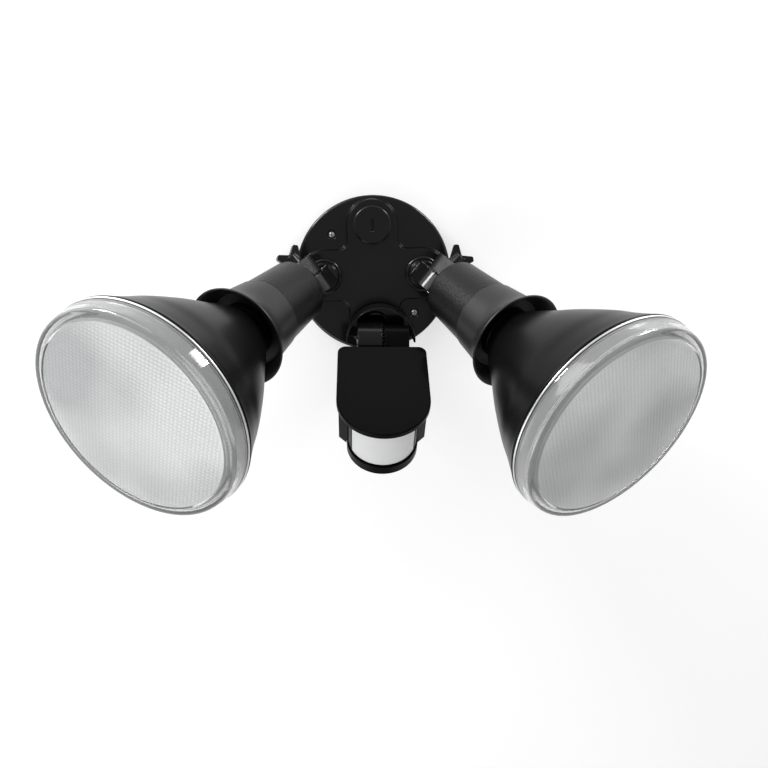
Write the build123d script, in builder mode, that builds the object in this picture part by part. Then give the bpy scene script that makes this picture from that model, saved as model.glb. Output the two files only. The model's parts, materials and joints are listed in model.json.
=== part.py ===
from build123d import *
import os
from math import cos, radians, sin

os.makedirs("parts", exist_ok=True)

# Twin floodlight with a motion sensor, fixed to a wall.
# Millimetres and degrees. The wall is the plane Y = 0, the light stands out from it
# towards -Y, +Z is up, and the origin is the centre of the base's back face.

# ---------------------------------------------------------------- driving dimensions
# Base: wall plate, foam gasket and round cover with a cross-shaped plateau
cover_radius = 57.0
cover_depth = 14.0            # wall to the flat front of the cover
cover_wall = 2.5
cover_edge_round = 2.0
plateau_rise = 3.0
plateau_half_width = 19.2
plateau_corner_round = 6.0
plateau_draft = 22.0
base_gasket_thickness = 2.0
base_gasket_width = 5.0
base_gasket_inset = 0.5       # gasket edge inside the cover edge
plate_gap = 0.5               # between the wall plate and the gasket
plate_thickness = 3.0
cable_hole_radius = 9.0
cable_radius = 4.5
grommet_flange = 2.0
grommet_lip = 1.5
wall_slot_spacing = 73.0
wall_slot_length = 9.0
wall_slot_radius = 2.5

# Cover screws on one diagonal
cover_screw_place = 29.5      # across and up from the centre
pillar_radius = 4.5
cover_screw_radius = 1.75
cover_screw_length = 9.0
cover_screw_head_radius = 2.8
cover_screw_head_height = 1.2
screw_recess_radius = 3.4
screw_recess_depth = 1.2
cross_slot_share = 0.65       # of the head's width
cross_slot_width = 0.8
cross_slot_depth = 0.8

# Ports: four threaded holes, one shut by a plug
port_circle = 35.8
port_radius = 10.4
port_boss_radius = 13.0
port_boss_back = 7.5          # wall to the inner end of a port boss
turning_clearance = 0.05      # radial, shaft in hole
seal_thickness = 0.6
seal_width = 1.8
locknut_radius = 12.7
locknut_thickness = 4.4
locknut_bevel = 0.8
plug_head_radius = 13.7
plug_head_thickness = 2.8
plug_bevel = 0.8
coin_slot_length = 9.0
coin_slot_width = 1.6
coin_slot_depth = 1.2

# Wiring inside the base
terminal_width = 30.0
terminal_height = 11.0
terminal_depth = 7.4
terminal_rise = 17.0          # centre above the base's centre
terminal_poles = 3
terminal_pole_spacing = 9.0
terminal_screw_radius = 1.7
terminal_screw_length = 3.0
terminal_wire_radius = 1.6
earth_place = -20.0           # across and up from the centre
earth_post_radius = 2.0
earth_post_height = 3.6
earth_head_radius = 3.6
earth_head_height = 2.0

# Arms: shank in the port, stem, and half of a toothed knuckle
shank_inner_end = 5.0         # wall to the inner end of the shank
stem_neck_radius = 9.6
stem_neck_length = 7.0
stem_half_width = 8.6
stem_foot_thickness = 2.0
hinge_reach = 49.5            # wall to the hinge axis
hinge_drop = 9.0              # hinge axis from the port axis, the way the head tips
knuckle_radius = 12.5
knuckle_gap = 0.3             # between the two toothed faces
tooth_count = 30
tooth_notch_width = 1.1
tooth_notch_depth = 0.8
tooth_inner_radius = 8.0
tooth_overrun = 1.0
wire_way_radius = 3.2
head_wire_way_radius = 2.6
wire_way_level = 4.0          # end of the head's wire way above the hinge
hinge_screw_radius = 3.0
nut_flats = 10.0
nut_thickness = 4.4
nut_pocket_clearance = 0.15
screw_end_past_nut = 0.6

# Lamp arms
lamp_hinge_angle = {-1: 57.2, 1: 49.0}     # hinge axis above level, left and right
lamp_tilt = {-1: 31.7, 1: 34.3}            # lamp axis from straight out, left and right
lamp_shift = 5.2                           # lamp axis along the hinge from the port axis
lamp_joint_face = 6.2                      # toothed face along the hinge
lamp_arm_knuckle_length = 13.0
lamp_head_knuckle_length = 12.5

# Wing knob
knob_gap = 0.3
knob_boss_radius = 5.6
knob_boss_length = 6.6
knob_boss_draft = 10.0
wing_foot = 0.6                # knob foot to the wings
wing_foot_half_width = 5.0
wing_tip_half_width = 9.0
wing_tip_width = 2.6
wing_length = 11.1
wing_notch_depth = 4.4
wing_thickness = 4.4
wing_round = 1.3
knob_turn = {-1: 24.0, 1: -6.0}            # wings as they stand, left and right
knob_screw_depth = 5.6

# Lampholder, measured along the lamp axis from the hinge
holder_back = 15.5
holder_back_radius = 21.0
holder_back_round = 2.0
holder_step = 55.5
holder_step_radius = 23.1
holder_spigot_radius = 21.4
holder_front = 66.0
holder_wall = 2.7
holder_floor = 3.0
holder_rib_width = 2.4
holder_rib_height = 1.4
holder_rib_length = 26.0

# Rubber cup that seals the lamp in the holder
cup_sleeve_radius = 23.9
cup_bulge_radius = 25.3
cup_bulge_reach = 69.0
cup_waist_radius = 26.6
cup_waist_reach = 77.0
cup_rim_radius = 31.6
cup_rim_reach = 86.2
cup_wall = 1.7
cup_lip_gap = 0.3
cup_lip_thickness = 2.2
cup_lip_reach = 72.0
seal_seat_depth = 1.0          # cup's inside, to the seal's seat
seal_wall = 1.7

# Lamp socket with an Edison screw shell
insert_clearance = 0.4
insert_front = 64.0
insert_floor = 40.0
insert_bore_radius = 4.0
shell_gap = 0.3
shell_wall = 0.45
shell_back = 44.8
contact_width = 5.0
contact_thickness = 0.8
contact_length = 20.0
contact_gap = 0.3

# Lamp: a sealed reflector lamp 121 mm across
lamp_end = 42.3                # hinge to the lamp's end contact
lamp_length = 134.0
lamp_cap_radius = 13.1
lamp_cap_wall = 0.6
lamp_cap_length = 23.0
cap_thread_turns = 5
cap_thread_pitch = 3.6
cap_thread_depth = 0.35
lamp_insulator_length = 2.4
lamp_contact_radius = 4.6
lamp_contact_height = 0.9
lamp_neck_radius = 17.0
neck_front = 84.0              # hinge to the end of the straight neck
collar_radius = 21.4           # shoulder between neck and bell
collar_rise = 3.6
collar_bevel = 0.4
collar_bevel_length = 1.0
# bell outline: share of the ring's radius, share of the way from the collar to the ring
bell_shares = ((0.4033, 0.0573), (0.5124, 0.2135), (0.6777, 0.4388), (0.8264, 0.6732),
               (0.8975, 0.8125), (0.9851, 0.9688))
lamp_body_wall = 2.0
lamp_ring_radius = 60.5
ring_height = 1.3
ring_width = 3.4
board_recess = 8.4             # behind the ring, to the board's seat
lens_height = 10.6             # ring to the crown of the lens
lens_thickness = 3.2
lens_foot_inset = 0.4
lens_side_inset = 1.2
lens_edge_inset = 3.5
lens_corner_height = 2.6
lens_corner_bulge = 0.5
lens_dome_rise = 1.0
led_board_thickness = 1.6
led_count = 9
led_circle = 34.0
led_radius = 3.4
led_height = 1.2
driver_width = 24.0
driver_length = 46.0
driver_thickness = 1.6

# Sensor arm
sensor_hinge_angle = -2.5      # hinge axis above level
sensor_tilt = 32.9             # sensor's nose below level
sensor_shift = 3.4
sensor_joint_face = 4.4
sensor_arm_knuckle_length = 17.4
sensor_head_knuckle_length = 17.6
shroud_radius = 24.5
shroud_wall = 1.3
shroud_front = 47.0
shroud_gap = 0.4               # behind the shroud, to the locknut
sensor_screw_head_radius = 5.0
sensor_screw_head_height = 3.6

# Sensor head, measured from its hinge: nose-wards, upwards and to each side
hood_back = 13.5
hood_top = 9.9
hood_thickness = 3.6
hood_half_width = 29.9
hood_straight = 47.1
hood_corner_round = 5.5
hood_edge_round = 0.8
housing_half_width = 28.7
housing_cheek_reach = 60.0
housing_front_reach = 66.0
housing_front_half_width = 22.6
housing_depth = 36.3
housing_wall = 2.0
housing_corner_round = 4.5
window_radius = 22.4
window_centre = 65.7
window_height = 31.1
window_half_angle = 64.0
window_edge = 1.2
frame_wall = 2.0
frame_half_angle = 92.0
sensor_lens_radius = 22.1
sensor_lens_thickness = 1.0
rim_radius = 23.4
rim_height = 7.0
rim_wall = 2.0
rim_floor = 2.0
fit_gap = 0.25
sensor_stem_half_height = 8.0
sensor_stem_level = -4.2
sensor_board_reach = 52.0
sensor_board_level = -9.2      # middle of the board
sensor_board_half_width = 26.5
sensor_board_height = 30.6
sensor_board_thickness = 1.6
pot_spacing = 11.0
pot_size = 5.0
detector_level = -9.0
detector_flange_radius = 5.4
detector_flange_height = 0.8
detector_radius = 4.6
detector_height = 4.2
dial_spacing = 11.0
dial_radius = 3.8
dial_recess_depth = 0.8
dial_end_play = 0.1
dial_stem_radius = 2.2
dial_head_height = 1.6
dial_flange_radius = 3.1
dial_flange_height = 1.2
dial_slot_width = 0.9
dial_slot_depth = 0.7
case_screw_side = 23.6
case_screw_reach = (18.6, 44.0)
case_column_radius = 3.4
case_screw_radius = 1.2
case_screw_head_radius = 2.1
case_screw_head_height = 1.6
case_screw_length = 13.0
hood_screw_depth = 2.4

# ---------------------------------------------------------------- derived sizes
forward = Vector(0, -1, 0)
cover_inner_face = cover_depth - cover_wall
plateau_face = cover_depth + plateau_rise
gasket_outer_radius = cover_radius - base_gasket_inset
gasket_inner_radius = gasket_outer_radius - base_gasket_width
plate_radius = gasket_inner_radius - plate_gap
seal_face = plateau_face + seal_thickness
locknut_face = seal_face + locknut_thickness
shank_radius = port_radius - turning_clearance
hinge_hole_radius = hinge_screw_radius + turning_clearance
ports = [(port_circle, 0), (0, port_circle), (-port_circle, 0), (0, -port_circle)]
arm_ports = [ports[0], ports[2], ports[3]]
plug_port = ports[1]
cover_screw_places = [(-cover_screw_place, cover_screw_place), (cover_screw_place, -cover_screw_place)]
hood_underside = hood_top - hood_thickness
housing_floor = hood_underside - housing_depth
window_bottom = hood_underside - window_height
rim_bottom = window_bottom - rim_height
hood_arc_reach = hood_back + hood_straight
holder_bore_radius = holder_spigot_radius - holder_wall
insert_radius = holder_bore_radius - insert_clearance
shell_inner_radius = lamp_cap_radius + shell_gap
shell_outer_radius = shell_inner_radius + shell_wall
lamp_front = lamp_end + lamp_length
cap_back = lamp_end + lamp_contact_height + lamp_insulator_length
cap_front = cap_back + lamp_cap_length
ring_front = lamp_front - lens_height
ring_back = ring_front - ring_height
bell_back = neck_front + collar_rise
bell_outline = [(across * lamp_ring_radius, bell_back + along * (ring_back - bell_back))
                for across, along in bell_shares]
board_reach = ring_back - board_recess
lens_inner_radius = lamp_ring_radius - ring_width
seal_seat_radius = holder_spigot_radius + seal_seat_depth
seal_front = cup_lip_reach + cup_lip_thickness
neck_lip_radius = lamp_neck_radius + cup_lip_gap
cover_slot_length = 2 * cross_slot_share * cover_screw_head_radius
hinge_slot_length = 2 * cross_slot_share * sensor_screw_head_radius


class SwivelArm:
    """Directions and datum points of an arm that swivels in its port and of the head it tilts."""

    def __init__(self, side, port, hinge_angle, tilt, shift):
        rise = radians(hinge_angle)
        dip = radians(tilt)
        self.side = side
        self.tilt = tilt
        self.port = Vector(port[0], 0, port[1])
        self.hinge = Vector(side * cos(rise), 0, sin(rise))
        self.fall = Vector(side * sin(rise), 0, -cos(rise))
        self.aim = forward * cos(dip) + self.fall * sin(dip)
        self.crown = forward * sin(dip) - self.fall * cos(dip)
        self.pivot = self.port + self.fall * hinge_drop + forward * hinge_reach
        self.head = self.pivot + self.hinge * shift


def port_plane(arm, reach):
    """Across the port axis, X along the hinge, facing away from the wall."""
    return Plane(origin=arm.port + forward * reach, x_dir=arm.hinge, z_dir=forward)


def knuckle_plane(arm, along):
    """Across the hinge axis, X straight out from the wall and Y the way the head tips."""
    return Plane(origin=arm.pivot + arm.hinge * along, x_dir=forward, z_dir=arm.hinge * arm.side)


def aim_plane(arm, level=0.0):
    """Holds the head's own axis: X along the hinge and Y along the way the head points."""
    origin = arm.head + arm.crown * level
    return Plane(origin=origin, x_dir=arm.hinge, z_dir=arm.hinge.cross(arm.aim))


def across_plane(arm, reach):
    """Across the head's own axis, X along the hinge, facing the way the head points."""
    return Plane(origin=arm.head + arm.aim * reach, x_dir=arm.hinge, z_dir=arm.aim)


def tilted_place(arm, reach, level):
    """A place on a knuckle plane, turned with the head."""
    dip = radians(arm.tilt)
    out = reach * cos(dip) + level * sin(dip)
    down = reach * sin(dip) - level * cos(dip)
    return Location((out, down, 0), (0, 0, arm.tilt))


def write(builder, label):
    builder.part.label = label
    export_step(builder.part, f"parts/{label}.step")


left = SwivelArm(-1, ports[2], lamp_hinge_angle[-1], lamp_tilt[-1], lamp_shift)
right = SwivelArm(1, ports[0], lamp_hinge_angle[1], lamp_tilt[1], lamp_shift)
sensor = SwivelArm(1, ports[3], sensor_hinge_angle, sensor_tilt, sensor_shift)

# ---------------------------------------------------------------- base
# Wall plate with slots for the wall screws, the cable hole and two screw pillars
with BuildPart() as mounting_plate:
    with BuildSketch(Plane.XZ):
        Circle(plate_radius)
        Circle(cable_hole_radius, mode=Mode.SUBTRACT)
        with GridLocations(wall_slot_spacing, 0, 2, 1):
            SlotOverall(wall_slot_length, 2 * wall_slot_radius, mode=Mode.SUBTRACT)
    extrude(amount=plate_thickness)
    with BuildSketch(Plane.XZ.offset(plate_thickness)):
        with Locations(*cover_screw_places):
            Circle(pillar_radius)
    extrude(amount=cover_inner_face - plate_thickness)
    with BuildSketch(Plane.XZ.offset(cover_inner_face)):
        with Locations(*cover_screw_places):
            Circle(cover_screw_radius + turning_clearance)
    extrude(amount=-cover_screw_length, mode=Mode.SUBTRACT)
write(mounting_plate, "mounting_plate")

# Foam ring squeezed between the wall and the cover's edge
with BuildPart() as base_gasket:
    with BuildSketch(Plane.XZ):
        Circle(gasket_outer_radius)
        Circle(gasket_inner_radius, mode=Mode.SUBTRACT)
    extrude(amount=base_gasket_thickness)
write(base_gasket, "base_gasket")

# Round cover with a drafted cross that carries the four ports
with BuildPart() as base_cover:
    with BuildSketch(Plane.XZ.offset(base_gasket_thickness)):
        Circle(cover_radius)
    extrude(amount=cover_depth - base_gasket_thickness)
    front_edge = base_cover.edges().filter_by(GeomType.CIRCLE).sort_by(Axis.Y)[0]
    fillet(front_edge, radius=cover_edge_round)
    with BuildSketch(Plane.XZ.offset(base_gasket_thickness)):
        Circle(cover_radius - cover_wall)
    extrude(amount=cover_inner_face - base_gasket_thickness, mode=Mode.SUBTRACT)
    with BuildSketch(Plane.XZ.offset(cover_depth)) as cross:
        SlotCenterToCenter(2 * port_circle, 2 * plateau_half_width)
        SlotCenterToCenter(2 * port_circle, 2 * plateau_half_width, rotation=90)
        inner_corners = cross.vertices().sort_by_distance((0, 0, 0))[:4]
        fillet(inner_corners, radius=plateau_corner_round)
    extrude(amount=plateau_rise, taper=plateau_draft)
    with BuildSketch(Plane.XZ.offset(port_boss_back)):
        with Locations(*ports):
            Circle(port_boss_radius)
    extrude(amount=cover_inner_face - port_boss_back)
    with BuildSketch(Plane.XZ.offset(port_boss_back)):
        with Locations(*ports):
            Circle(port_radius)
    extrude(amount=plateau_face - port_boss_back, mode=Mode.SUBTRACT)
    with BuildSketch(Plane.XZ.offset(cover_inner_face)):
        with Locations(*cover_screw_places):
            Circle(cover_screw_radius + turning_clearance)
    extrude(amount=cover_wall, mode=Mode.SUBTRACT)
    with BuildSketch(Plane.XZ.offset(cover_depth)):
        with Locations(*cover_screw_places):
            Circle(screw_recess_radius)
    extrude(amount=-screw_recess_depth, mode=Mode.SUBTRACT)
write(base_cover, "base_cover")

# Two cross-head screws, sunk in the cover and driven into the plate's pillars
screw_seat = cover_depth - screw_recess_depth
with BuildPart() as cover_screws:
    with BuildSketch(Plane.XZ.offset(screw_seat)):
        with Locations(*cover_screw_places):
            Circle(cover_screw_head_radius)
    extrude(amount=cover_screw_head_height)
    with BuildSketch(Plane.XZ.offset(screw_seat)):
        with Locations(*cover_screw_places):
            Circle(cover_screw_radius)
    extrude(amount=-cover_screw_length)
    with BuildSketch(Plane.XZ.offset(screw_seat + cover_screw_head_height)):
        with Locations(*cover_screw_places):
            Rectangle(cover_slot_length, cross_slot_width)
            Rectangle(cross_slot_width, cover_slot_length)
    extrude(amount=-cross_slot_depth, mode=Mode.SUBTRACT)
write(cover_screws, "cover_screws")

# Plug in the unused top port, turned with a coin
with BuildPart() as blanking_plug:
    with BuildSketch(Plane.XZ.offset(seal_face)):
        with Locations(plug_port):
            Circle(plug_head_radius)
    extrude(amount=plug_head_thickness)
    plug_edge = blanking_plug.edges().filter_by(GeomType.CIRCLE).sort_by(Axis.Y)[0]
    chamfer(plug_edge, length=plug_bevel)
    with BuildSketch(Plane.XZ.offset(port_boss_back)):
        with Locations(plug_port):
            Circle(shank_radius)
    extrude(amount=seal_face - port_boss_back)
    with BuildSketch(Plane.XZ.offset(seal_face + plug_head_thickness)):
        with Locations(plug_port):
            SlotOverall(coin_slot_length, coin_slot_width, rotation=90)
    extrude(amount=-coin_slot_depth, mode=Mode.SUBTRACT)
write(blanking_plug, "blanking_plug")

with BuildPart() as plug_seal:
    with BuildSketch(Plane.XZ.offset(plateau_face)):
        with Locations(plug_port):
            Circle(port_radius + seal_width)
            Circle(port_radius, mode=Mode.SUBTRACT)
    extrude(amount=seal_thickness)
write(plug_seal, "plug_seal")

# A flat seal and a round locknut round each arm's shank
with BuildPart() as arm_seals:
    with BuildSketch(Plane.XZ.offset(plateau_face)):
        with Locations(*arm_ports):
            Circle(port_radius + seal_width)
            Circle(port_radius, mode=Mode.SUBTRACT)
    extrude(amount=seal_thickness)
write(arm_seals, "arm_seals")

with BuildPart() as arm_locknuts:
    with BuildSketch(Plane.XZ.offset(seal_face)):
        with Locations(*arm_ports):
            Circle(locknut_radius)
            Circle(port_radius, mode=Mode.SUBTRACT)
    extrude(amount=locknut_thickness)
    nut_edges = arm_locknuts.edges().filter_by(GeomType.CIRCLE).group_by(Axis.Y)[0]
    chamfer(nut_edges.sort_by(SortBy.RADIUS)[-len(arm_ports):], length=locknut_bevel)
write(arm_locknuts, "arm_locknuts")

# Rubber grommet that closes the plate's cable hole round the supply cable
with BuildPart() as cable_grommet:
    with BuildSketch(Plane.XZ):
        Circle(cable_hole_radius)
        Circle(cable_radius, mode=Mode.SUBTRACT)
    extrude(amount=plate_thickness)
    with BuildSketch(Plane.XZ.offset(plate_thickness)):
        Circle(cable_hole_radius + grommet_flange)
        Circle(cable_radius, mode=Mode.SUBTRACT)
    extrude(amount=grommet_lip)
write(cable_grommet, "cable_grommet")

# Three-pole terminal block with a screw well over each end of each pole
pole_row = (terminal_poles - 1) * terminal_pole_spacing
well_spacing = terminal_height / 2
block_face = plate_thickness + terminal_depth
with BuildPart() as terminal_block:
    with BuildSketch(Plane.XZ.offset(plate_thickness)):
        with Locations((0, terminal_rise)):
            Rectangle(terminal_width, terminal_height)
    extrude(amount=terminal_depth)
    with BuildSketch(Plane.XZ.offset(block_face)):
        with Locations((0, terminal_rise)):
            with GridLocations(terminal_pole_spacing, well_spacing, terminal_poles, 2):
                Circle(terminal_screw_radius + turning_clearance)
    extrude(amount=-terminal_depth / 2, mode=Mode.SUBTRACT)
    with BuildSketch(Plane.XY.offset(terminal_rise - terminal_height / 2)):
        with Locations((0, -(plate_thickness + terminal_depth / 2))):
            with GridLocations(terminal_pole_spacing, 0, terminal_poles, 1):
                Circle(terminal_wire_radius)
    extrude(amount=terminal_height, mode=Mode.SUBTRACT)
write(terminal_block, "terminal_block")

with BuildPart() as terminal_screws:
    with BuildSketch(Plane.XZ.offset(block_face - terminal_depth / 2)):
        with Locations((0, terminal_rise)):
            with GridLocations(terminal_pole_spacing, well_spacing, terminal_poles, 2):
                Circle(terminal_screw_radius)
    extrude(amount=terminal_screw_length)
write(terminal_screws, "terminal_screws")

# Earth post with its clamping head
with BuildPart() as earth_terminal:
    with BuildSketch(Plane.XZ.offset(plate_thickness)):
        with Locations((earth_place, earth_place)):
            Circle(earth_post_radius)
    extrude(amount=earth_post_height)
    with BuildSketch(Plane.XZ.offset(plate_thickness + earth_post_height)):
        with Locations((earth_place, earth_place)):
            Circle(earth_head_radius)
    extrude(amount=earth_head_height)
    with BuildSketch(Plane.XZ.offset(plate_thickness + earth_post_height + earth_head_height)):
        with Locations((earth_place, earth_place)):
            Rectangle(2 * earth_head_radius, cross_slot_width)
    extrude(amount=-cross_slot_depth, mode=Mode.SUBTRACT)
write(earth_terminal, "earth_terminal")


# ---------------------------------------------------------------- arms and hinges
def cut_teeth(arm, face, inward):
    """Radial notches round a toothed face; inward is the way into the material."""
    tooth_length = knuckle_radius - tooth_inner_radius + tooth_overrun
    with BuildSketch(knuckle_plane(arm, face)) as notches:
        with PolarLocations(tooth_inner_radius + tooth_length / 2, tooth_count):
            Rectangle(tooth_length, tooth_notch_width)
    extrude(notches.sketch, amount=inward * arm.side * tooth_notch_depth, mode=Mode.SUBTRACT)


def build_arm(arm, label, joint_face, knuckle_length, with_shroud):
    """Shank, stem and one half of the knuckle; the sensor's arm also has a rain shroud."""
    knuckle_back = joint_face - knuckle_length
    with BuildPart() as piece:
        with BuildSketch(port_plane(arm, shank_inner_end)):
            Circle(shank_radius)
        extrude(amount=locknut_face - shank_inner_end)
        with BuildSketch(port_plane(arm, locknut_face)):
            Circle(stem_neck_radius)
        extrude(amount=stem_neck_length)
        with BuildSketch(knuckle_plane(arm, knuckle_back)):
            Circle(knuckle_radius)
            with Locations((locknut_face + stem_foot_thickness - hinge_reach, -hinge_drop)):
                Rectangle(stem_foot_thickness, 2 * stem_half_width)
            make_hull()
        extrude(amount=arm.side * knuckle_length)
        if with_shroud:
            shroud_back = locknut_face + shroud_gap
            with BuildSketch(port_plane(arm, shroud_back)):
                with Locations((sensor_shift, -hinge_drop)):
                    Circle(shroud_radius)
                    Rectangle(2 * shroud_radius, shroud_radius, align=(Align.CENTER, Align.MAX),
                              mode=Mode.SUBTRACT)
            extrude(amount=shroud_wall)
            with BuildSketch(port_plane(arm, shroud_back)):
                with Locations((sensor_shift, -hinge_drop)):
                    Circle(shroud_radius)
                    Circle(shroud_radius - shroud_wall, mode=Mode.SUBTRACT)
                    Rectangle(2 * shroud_radius, shroud_radius, align=(Align.CENTER, Align.MAX),
                              mode=Mode.SUBTRACT)
            extrude(amount=shroud_front - shroud_back)
        with BuildSketch(knuckle_plane(arm, knuckle_back)):
            Circle(hinge_hole_radius)
        extrude(amount=arm.side * knuckle_length, mode=Mode.SUBTRACT)
        with BuildSketch(knuckle_plane(arm, knuckle_back)):
            RegularPolygon(nut_flats / 2 + nut_pocket_clearance, 6, major_radius=False)
        extrude(amount=arm.side * nut_thickness, mode=Mode.SUBTRACT)
        cut_teeth(arm, joint_face, -1)
        # wires: in along the shank, then along the hinge to the toothed face
        with BuildSketch(port_plane(arm, shank_inner_end)):
            Circle(wire_way_radius)
        extrude(amount=hinge_reach - shank_inner_end, mode=Mode.SUBTRACT)
        with BuildSketch(knuckle_plane(arm, 0)):
            with Locations((0, -hinge_drop)):
                Circle(wire_way_radius)
        extrude(amount=arm.side * joint_face, mode=Mode.SUBTRACT)
    write(piece, label)


def build_hinge_nut(arm, label, joint_face, knuckle_length):
    with BuildPart() as piece:
        with BuildSketch(knuckle_plane(arm, joint_face - knuckle_length)):
            RegularPolygon(nut_flats / 2, 6, major_radius=False)
            Circle(hinge_hole_radius, mode=Mode.SUBTRACT)
        extrude(amount=arm.side * nut_thickness)
    write(piece, label)


def add_head_knuckle(arm, joint_face, knuckle_length, reach, level, half_height):
    """The head's half of the knuckle, joined to the head's back by a web."""
    with BuildSketch(knuckle_plane(arm, joint_face + knuckle_gap)) as web:
        Circle(knuckle_radius)
        with Locations(tilted_place(arm, reach, level)):
            Rectangle(stem_foot_thickness, 2 * half_height)
        make_hull()
    extrude(web.sketch, amount=arm.side * knuckle_length)
    with BuildSketch(knuckle_plane(arm, joint_face + knuckle_gap)) as screw_hole:
        Circle(hinge_hole_radius)
    extrude(screw_hole.sketch, amount=arm.side * knuckle_length, mode=Mode.SUBTRACT)
    cut_teeth(arm, joint_face + knuckle_gap, 1)


def cut_head_wire_way(arm, joint_face, reach):
    """Bore from the arm's wire hole in the toothed face to the inside of the head."""
    depth = joint_face + knuckle_gap + wire_way_radius
    start = arm.pivot + arm.hinge * depth - arm.fall * hinge_drop
    end = arm.pivot + arm.hinge * depth + arm.aim * reach + arm.crown * wire_way_level
    way = end - start
    with BuildSketch(knuckle_plane(arm, joint_face + knuckle_gap)) as entry:
        with Locations((0, -hinge_drop)):
            Circle(head_wire_way_radius)
    extrude(entry.sketch, amount=arm.side * wire_way_radius, mode=Mode.SUBTRACT)
    with BuildSketch(Plane(origin=start, z_dir=way)) as passage:
        Circle(head_wire_way_radius)
    extrude(passage.sketch, amount=way.length, mode=Mode.SUBTRACT)


build_arm(left, "left_arm", lamp_joint_face, lamp_arm_knuckle_length, False)
build_arm(right, "right_arm", lamp_joint_face, lamp_arm_knuckle_length, False)
build_arm(sensor, "sensor_arm", sensor_joint_face, sensor_arm_knuckle_length, True)
build_hinge_nut(left, "left_hinge_nut", lamp_joint_face, lamp_arm_knuckle_length)
build_hinge_nut(right, "right_hinge_nut", lamp_joint_face, lamp_arm_knuckle_length)
build_hinge_nut(sensor, "sensor_hinge_nut", sensor_joint_face, sensor_arm_knuckle_length)


# ---------------------------------------------------------------- lamp sides
def revolved(arm, outline):
    """A ring or shell of revolution about the lamp axis, from radius and reach pairs."""
    with BuildSketch(aim_plane(arm)) as profile:
        with BuildLine():
            Polyline(*outline, close=True)
        make_face()
    revolve(profile.sketch, axis=Axis(arm.head, arm.aim))


def build_screw_and_knob(arm, name):
    """Steel hinge screw and the wing knob moulded on its outer end."""
    screw_start = lamp_joint_face - lamp_arm_knuckle_length - screw_end_past_nut
    knob_foot = lamp_joint_face + knuckle_gap + lamp_head_knuckle_length + knob_gap
    screw_length = knob_foot + knob_screw_depth - screw_start
    with BuildPart() as hinge_screw:
        with BuildSketch(knuckle_plane(arm, screw_start)):
            Circle(hinge_screw_radius)
        extrude(amount=arm.side * screw_length)
    write(hinge_screw, name + "_hinge_screw")

    wing_direction = arm.fall.rotate(Axis((0, 0, 0), arm.hinge), knob_turn[arm.side])
    wing_origin = arm.pivot + arm.hinge * knob_foot
    wing_plane = Plane(origin=wing_origin, x_dir=wing_direction, z_dir=wing_direction.cross(arm.hinge))
    with BuildPart() as wing_knob:
        with BuildSketch(Plane(origin=wing_origin, x_dir=forward, z_dir=arm.hinge)):
            Circle(knob_boss_radius)
        extrude(amount=knob_boss_length, taper=knob_boss_draft)
        with BuildSketch(wing_plane) as wings:
            with BuildLine():
                Polyline(
                    (-wing_foot_half_width, wing_foot), (wing_foot_half_width, wing_foot),
                    (wing_tip_half_width, wing_foot + wing_length - wing_notch_depth / 2),
                    (wing_tip_half_width - wing_tip_width, wing_foot + wing_length),
                    (0, wing_foot + wing_length - wing_notch_depth),
                    (wing_tip_width - wing_tip_half_width, wing_foot + wing_length),
                    (-wing_tip_half_width, wing_foot + wing_length - wing_notch_depth / 2), close=True)
            make_face()
            fillet(wings.vertices(), radius=wing_round)
        extrude(amount=wing_thickness / 2, both=True)
        with BuildSketch(knuckle_plane(arm, knob_foot)):
            Circle(hinge_screw_radius)
        extrude(amount=arm.side * knob_screw_depth, mode=Mode.SUBTRACT)
    write(wing_knob, name + "_wing_knob")


def build_lampholder(arm, name):
    """Moulded barrel with the head's half of the knuckle on its back."""
    round_middle = holder_back_round * (1 - sin(radians(45)))
    with BuildPart() as lampholder:
        with BuildSketch(aim_plane(arm)):
            with BuildLine():
                Line((0, holder_back), (holder_back_radius - holder_back_round, holder_back))
                ThreePointArc(
                    (holder_back_radius - holder_back_round, holder_back),
                    (holder_back_radius - round_middle, holder_back + round_middle),
                    (holder_back_radius, holder_back + holder_back_round))
                Polyline(
                    (holder_back_radius, holder_back + holder_back_round),
                    (holder_step_radius, holder_step), (holder_spigot_radius, holder_step),
                    (holder_spigot_radius, holder_front), (holder_bore_radius, holder_front),
                    (holder_bore_radius, holder_back + holder_floor), (0, holder_back + holder_floor),
                    (0, holder_back))
            make_face()
        revolve(axis=Axis(arm.head, arm.aim))
        # rib along the underside
        with BuildSketch(across_plane(arm, holder_step - holder_rib_length)):
            with Locations((0, -arm.side * (holder_back_radius + holder_rib_height))):
                Rectangle(holder_rib_width, 2 * holder_rib_height)
        extrude(amount=holder_rib_length)
        add_head_knuckle(arm, lamp_joint_face, lamp_head_knuckle_length,
                         holder_back + stem_foot_thickness / 2, 0, stem_half_width)
        cut_head_wire_way(arm, lamp_joint_face, holder_back + holder_floor)
    write(lampholder, name + "_lampholder")


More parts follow.
